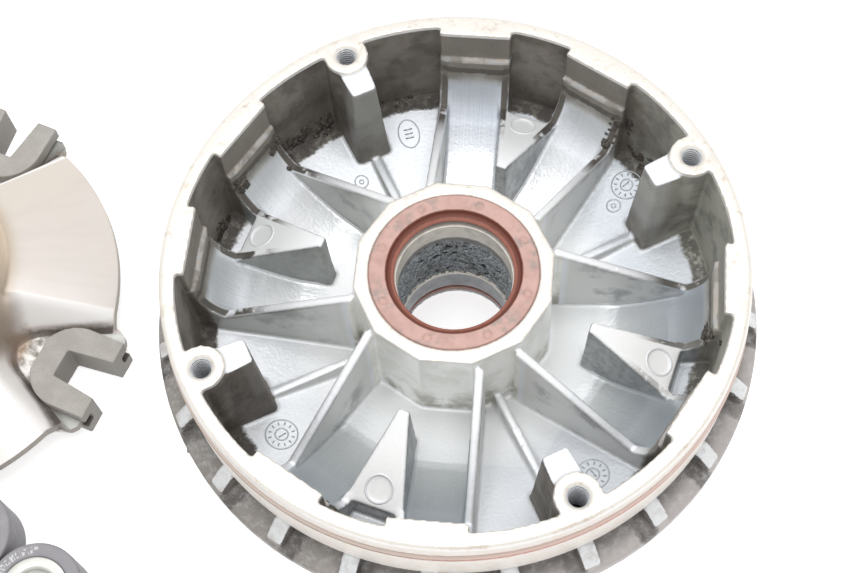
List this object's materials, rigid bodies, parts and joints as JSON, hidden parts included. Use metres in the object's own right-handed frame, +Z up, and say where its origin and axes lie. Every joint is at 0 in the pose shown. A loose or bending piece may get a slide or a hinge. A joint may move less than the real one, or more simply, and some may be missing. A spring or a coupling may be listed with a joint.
{
  "type": "variator pulley set",
  "caption": "Scooter variator set laid out: movable sheave with roller ramps and seals, ramp plate with slide pieces, loose roller weights.",
  "frame": {"origin": "on the sheave's bore axis, at the level of the bench on which the hub stands", "axes": "+Z up along the bore, out of the open roller bowl; +X away from the ramp plate, along the longest side of the laid-out set"},
  "size_m": [0.2987, 0.215, 0.0525],
  "materials": {
    "cast_aluminium": "die cast, machined ramps and rim",
    "bush_metal": "worn sintered bearing bush",
    "seal_rubber": "matt red-brown",
    "spring_steel": "plain",
    "oring_rubber": "matt red",
    "plate_steel": "pressed, polished by use",
    "slide_plastic": "warm grey moulded",
    "roller_nylon": "dark grey nylon",
    "roller_metal": "bright turned"
  },
  "bodies": {
    "sheave": {"sheave": "cast_aluminium", "bush_upper": "bush_metal", "bush_lower": "bush_metal", "seal_upper": "seal_rubber", "seal_lower": "seal_rubber", "seal_spring_upper": "spring_steel", "rim_oring": "oring_rubber"},
    "ramp_plate": {"ramp_plate": "plate_steel"},
    "slide_piece_1": {"slide_piece_1": "slide_plastic"},
    "slide_piece_2": {"slide_piece_2": "slide_plastic"},
    "slide_piece_3": {"slide_piece_3": "slide_plastic"},
    "slide_piece_4": {"slide_piece_4": "slide_plastic"},
    "roller_1": {"roller_1_sleeve": "roller_nylon", "roller_1_core": "roller_metal"},
    "roller_2": {"roller_2_sleeve": "roller_nylon", "roller_2_core": "roller_metal"},
    "roller_3": {"roller_3_sleeve": "roller_nylon", "roller_3_core": "roller_metal"},
    "roller_4": {"roller_4_sleeve": "roller_nylon", "roller_4_core": "roller_metal"},
    "roller_5": {"roller_5_sleeve": "roller_nylon", "roller_5_core": "roller_metal"},
    "roller_6": {"roller_6_sleeve": "roller_nylon", "roller_6_core": "roller_metal"},
    "roller_7": {"roller_7_sleeve": "roller_nylon", "roller_7_core": "roller_metal"},
    "roller_8": {"roller_8_sleeve": "roller_nylon", "roller_8_core": "roller_metal"}
  },
  "joints": [
    {"name": "ramp_plate_lift", "type": "slide", "parent": "sheave", "child": "ramp_plate", "axis": [0, 0, 1], "range_m": [0, 0.06]},
    {"name": "slide_piece_1_pull", "type": "slide", "parent": "ramp_plate", "child": "slide_piece_1", "axis": [0.471, 0.8821, 0], "range_m": [0, 0.022]},
    {"name": "slide_piece_2_pull", "type": "slide", "parent": "ramp_plate", "child": "slide_piece_2", "axis": [-0.8821, 0.471, 0], "range_m": [0, 0.022]},
    {"name": "slide_piece_3_pull", "type": "slide", "parent": "ramp_plate", "child": "slide_piece_3", "axis": [-0.471, -0.8821, 0], "range_m": [0, 0.022]},
    {"name": "slide_piece_4_pull", "type": "slide", "parent": "ramp_plate", "child": "slide_piece_4", "axis": [0.8821, -0.471, 0], "range_m": [0, 0.022]},
    {"name": "roller_1_roll", "type": "hinge", "parent": "sheave", "child": "roller_1", "pos_m": [-0.1137, -0.0657, 0.0075], "axis": [0, 0, 1], "continuous": true},
    {"name": "roller_2_roll", "type": "hinge", "parent": "sheave", "child": "roller_2", "pos_m": [-0.133, -0.0491, 0.0075], "axis": [0, 0, 1], "continuous": true},
    {"name": "roller_3_roll", "type": "hinge", "parent": "sheave", "child": "roller_3", "pos_m": [-0.09969, -0.10795, 0.0075], "axis": [0, 0, 1], "continuous": true},
    {"name": "roller_4_roll", "type": "hinge", "parent": "sheave", "child": "roller_4", "pos_m": [-0.11899, -0.09136, 0.0075], "axis": [0, 0, 1], "continuous": true},
    {"name": "roller_5_roll", "type": "hinge", "parent": "sheave", "child": "roller_5", "pos_m": [-0.13828, -0.07476, 0.0075], "axis": [0, 0, 1], "continuous": true},
    {"name": "roller_6_roll", "type": "hinge", "parent": "sheave", "child": "roller_6", "pos_m": [-0.12427, -0.11702, 0.0075], "axis": [0, 0, 1], "continuous": true},
    {"name": "roller_7_roll", "type": "hinge", "parent": "sheave", "child": "roller_7", "pos_m": [-0.14357, -0.10042, 0.0075], "axis": [0, 0, 1], "continuous": true},
    {"name": "roller_8_roll", "type": "hinge", "parent": "sheave", "child": "roller_8", "pos_m": [-0.16286, -0.08383, 0.0075], "axis": [0, 0, 1], "continuous": true}
  ]
}
